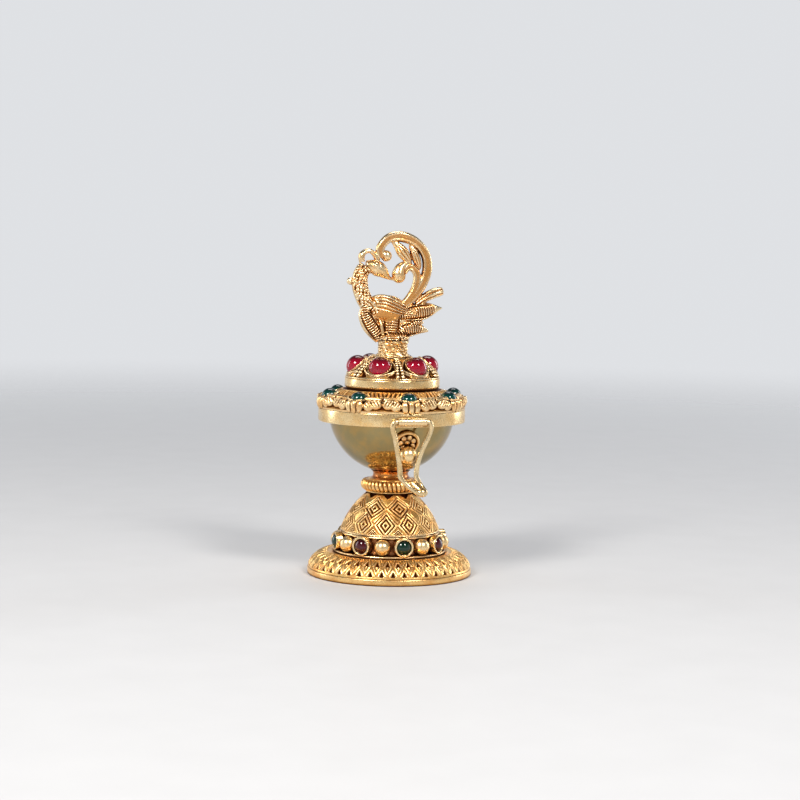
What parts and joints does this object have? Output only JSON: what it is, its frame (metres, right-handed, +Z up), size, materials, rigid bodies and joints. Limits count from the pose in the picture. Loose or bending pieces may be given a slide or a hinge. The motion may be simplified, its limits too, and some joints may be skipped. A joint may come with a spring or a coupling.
{
  "type": "kumkum box",
  "caption": "Footed brass powder box with a round bowl, a hinged stone-set lid, a peacock finial and a sprung wire clasp.",
  "frame": {"origin": "centre of the foot's underside", "axes": "+Z up through the finial; -Y to the front, where the clasp hangs; the lid's hinge lies along X at the back"},
  "size_m": [0.048, 0.048, 0.1],
  "materials": {
    "gold_antique": "antique gold plate, dark in the recesses",
    "gold_satin": "satin gold plate",
    "gold_bright": "polished gold plate",
    "ruby": "polished foil-backed glass",
    "emerald": "polished foil-backed glass",
    "steel": "plain zinc-plated steel"
  },
  "bodies": {
    "base": {"foot_plate": "gold_antique", "foot_ring": "gold_antique", "gallery_wall": "gold_antique", "gallery_bezels": "gold_antique", "gallery_rubies": "ruby", "gallery_emeralds": "emerald", "gallery_balls": "gold_bright", "dome_ring": "gold_antique", "dome": "gold_antique", "fluted_collar": "gold_antique", "stem": "gold_satin", "bowl": "gold_satin", "bowl_rim": "gold_satin", "catch_rosette": "gold_antique", "catch_ball": "gold_bright", "stem_bolt": "steel", "stem_washer": "steel", "stem_nut": "steel", "hinge_leaf": "gold_satin", "hinge_pin": "gold_bright"},
    "lid": {"lid_band": "gold_satin", "lid_plate": "gold_antique", "border_casting": "gold_antique", "border_bezels": "gold_antique", "border_emeralds": "emerald", "tier_ring": "gold_satin", "tier_cone": "gold_antique", "tier_ribs": "gold_antique", "tier_bezels": "gold_antique", "tier_rubies": "ruby", "finial_neck": "gold_antique", "peacock": "gold_antique", "finial_screw": "steel", "finial_washer": "steel", "clasp_tube": "gold_bright", "lid_knuckles": "gold_bright"},
    "clasp": {"clasp_loop": "gold_bright"}
  },
  "joints": [
    {"name": "lid_hinge", "type": "hinge", "parent": "base", "child": "lid", "pos_m": [0, 0.0228, 0.0449], "axis": [-1, 0, 0], "range_deg": [0, 105]},
    {"name": "clasp_hinge", "type": "hinge", "parent": "lid", "child": "clasp", "pos_m": [0, -0.0224, 0.0465], "axis": [-1, 0, 0], "range_deg": [0, 150]}
  ]
}
